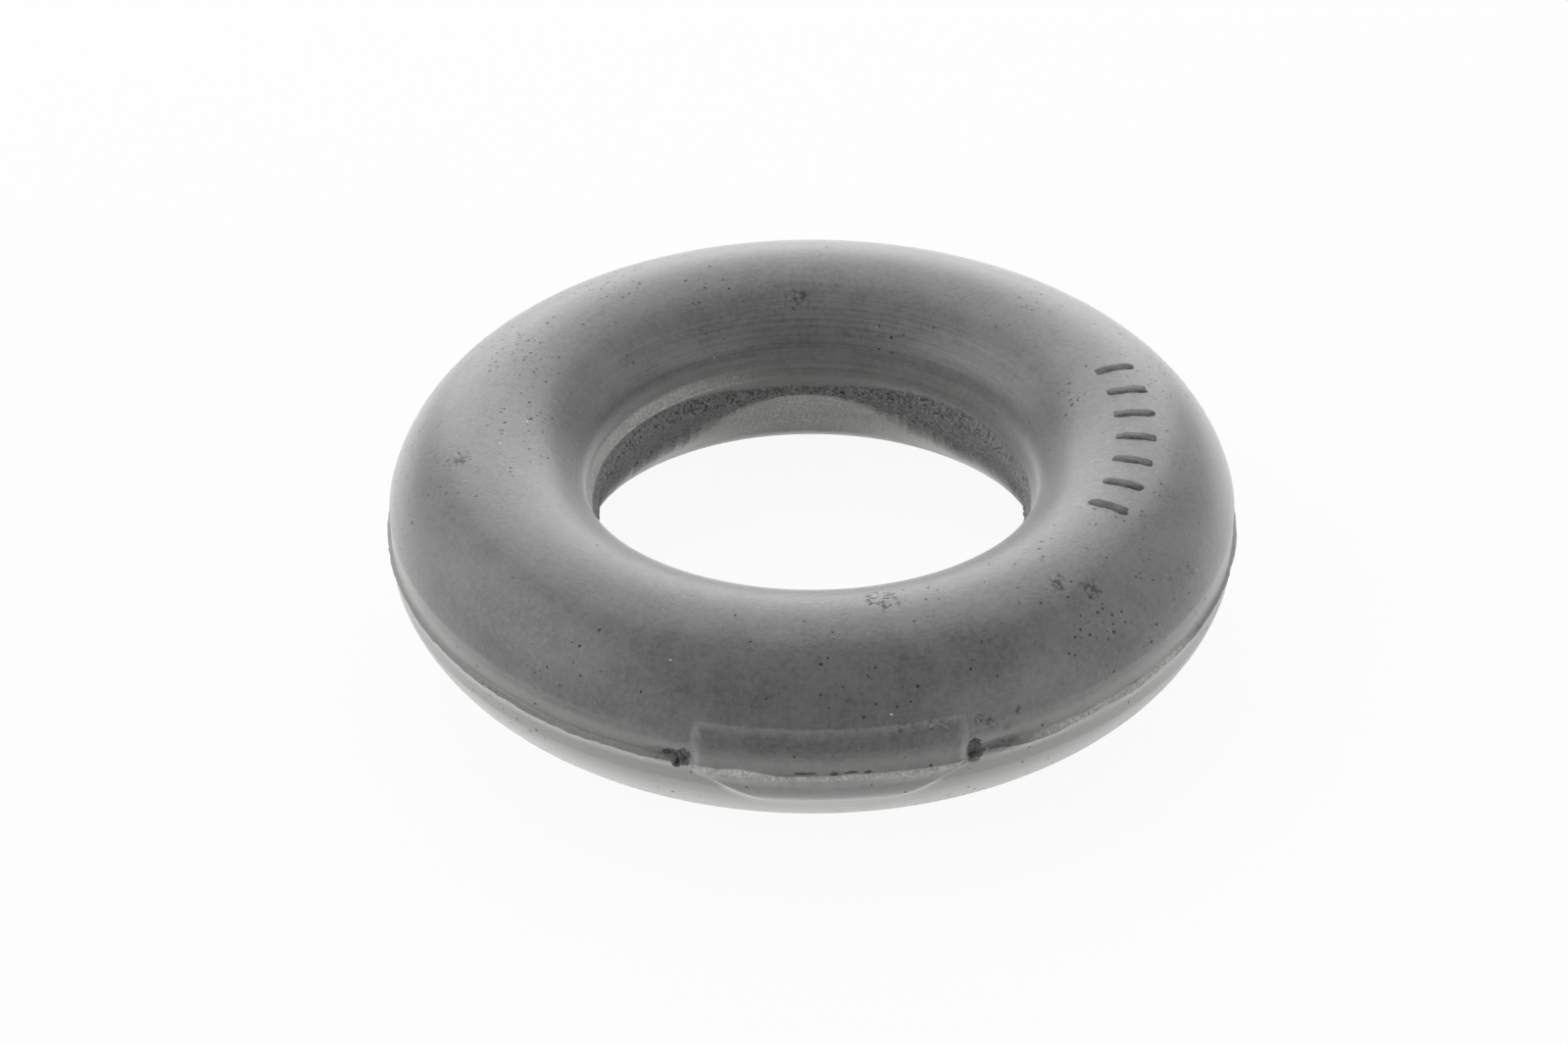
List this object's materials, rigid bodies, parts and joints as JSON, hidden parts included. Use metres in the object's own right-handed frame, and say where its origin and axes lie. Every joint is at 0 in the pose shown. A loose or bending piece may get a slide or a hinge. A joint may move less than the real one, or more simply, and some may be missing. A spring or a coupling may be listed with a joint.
{
  "type": "exhaust hanger rubber",
  "caption": "Round moulded rubber ring that hangs an exhaust pipe from two hooks, with a raised pad on its rim and a torn lip round its parting line.",
  "frame": {"origin": "centre of the bore, halfway up the ring", "axes": "+Z along the bore's axis, up as the ring lies flat; -Y towards the raised pad on the rim"},
  "size_m": [0.0611, 0.0619, 0.015],
  "materials": {
    "bloomed_rubber": "dull dark grey rubber with a pale bloom on it, fine pits and a rough torn parting line"
  },
  "bodies": {
    "root": {"hanger_ring": "bloomed_rubber"}
  },
  "joints": []
}
